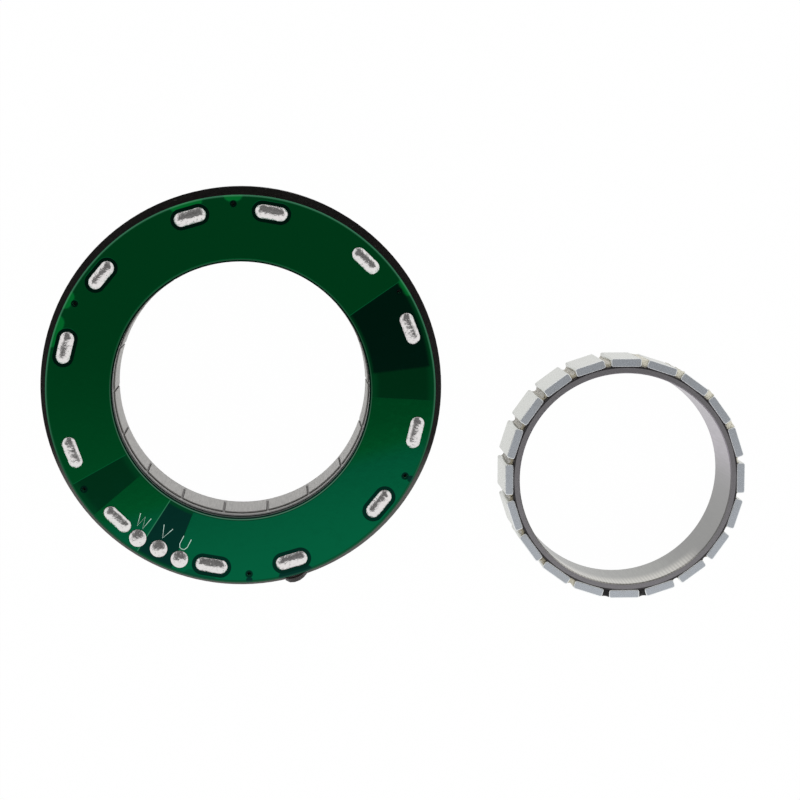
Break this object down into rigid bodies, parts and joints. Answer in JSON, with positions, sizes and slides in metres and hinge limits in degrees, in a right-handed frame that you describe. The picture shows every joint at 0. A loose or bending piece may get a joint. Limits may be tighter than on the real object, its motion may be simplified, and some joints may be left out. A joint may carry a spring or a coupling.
{
  "type": "frameless motor",
  "caption": "Frameless torque motor: wound stator with a ring-shaped connection board, and its magnet ring rotor drawn out and standing beside it.",
  "frame": {"origin": "on the stator axis, halfway up the lamination stack, in the middle of the stator bore", "axes": "+Z along the stator bore towards the connection board, +X towards the rotor standing beside the stator"},
  "size_m": [0.1673, 0.0987, 0.0298],
  "materials": {
    "lamination_steel": "satin black stack with bare grey tooth faces in the bore",
    "slot_paper": "matte",
    "wedge_fibre": "varnished fibre sheet, dull",
    "insulator_plastic": "moulded, matte",
    "enamelled_copper": "enamelled, glossy",
    "board_laminate": "green solder mask, glossy",
    "solder": "bright tinned",
    "hub_steel": "turned",
    "plated_magnet": "satin plating",
    "cured_adhesive": "translucent"
  },
  "bodies": {
    "stator": {"stator_core": "lamination_steel", "slot_liners": "slot_paper", "slot_wedges": "wedge_fibre", "upper_insulator": "insulator_plastic", "lower_insulator": "insulator_plastic", "link_wires": "enamelled_copper", "loose_link": "enamelled_copper", "coil_leads": "enamelled_copper", "circuit_board": "board_laminate", "slot_solder_joints": "solder", "phase_pad_w": "solder", "phase_pad_v": "solder", "phase_pad_u": "solder", "coil_01": "enamelled_copper", "coil_02": "enamelled_copper", "coil_03": "enamelled_copper", "coil_04": "enamelled_copper", "coil_05": "enamelled_copper", "coil_06": "enamelled_copper", "coil_07": "enamelled_copper", "coil_08": "enamelled_copper", "coil_09": "enamelled_copper", "coil_10": "enamelled_copper", "coil_11": "enamelled_copper", "coil_12": "enamelled_copper", "coil_13": "enamelled_copper", "coil_14": "enamelled_copper", "coil_15": "enamelled_copper", "coil_16": "enamelled_copper", "coil_17": "enamelled_copper", "coil_18": "enamelled_copper"},
    "rotor": {"rotor_hub": "hub_steel", "magnet_adhesive": "cured_adhesive", "magnet_01": "plated_magnet", "magnet_02": "plated_magnet", "magnet_03": "plated_magnet", "magnet_04": "plated_magnet", "magnet_05": "plated_magnet", "magnet_06": "plated_magnet", "magnet_07": "plated_magnet", "magnet_08": "plated_magnet", "magnet_09": "plated_magnet", "magnet_10": "plated_magnet", "magnet_11": "plated_magnet", "magnet_12": "plated_magnet", "magnet_13": "plated_magnet", "magnet_14": "plated_magnet", "magnet_15": "plated_magnet", "magnet_16": "plated_magnet", "magnet_17": "plated_magnet", "magnet_18": "plated_magnet", "magnet_19": "plated_magnet", "magnet_20": "plated_magnet"}
  },
  "joints": [
    {"name": "rotor_spin", "type": "hinge", "parent": "stator", "child": "rotor", "pos_m": [0.0914, -0.0228, -0.00382], "axis": [0, 0, 1], "continuous": true}
  ]
}
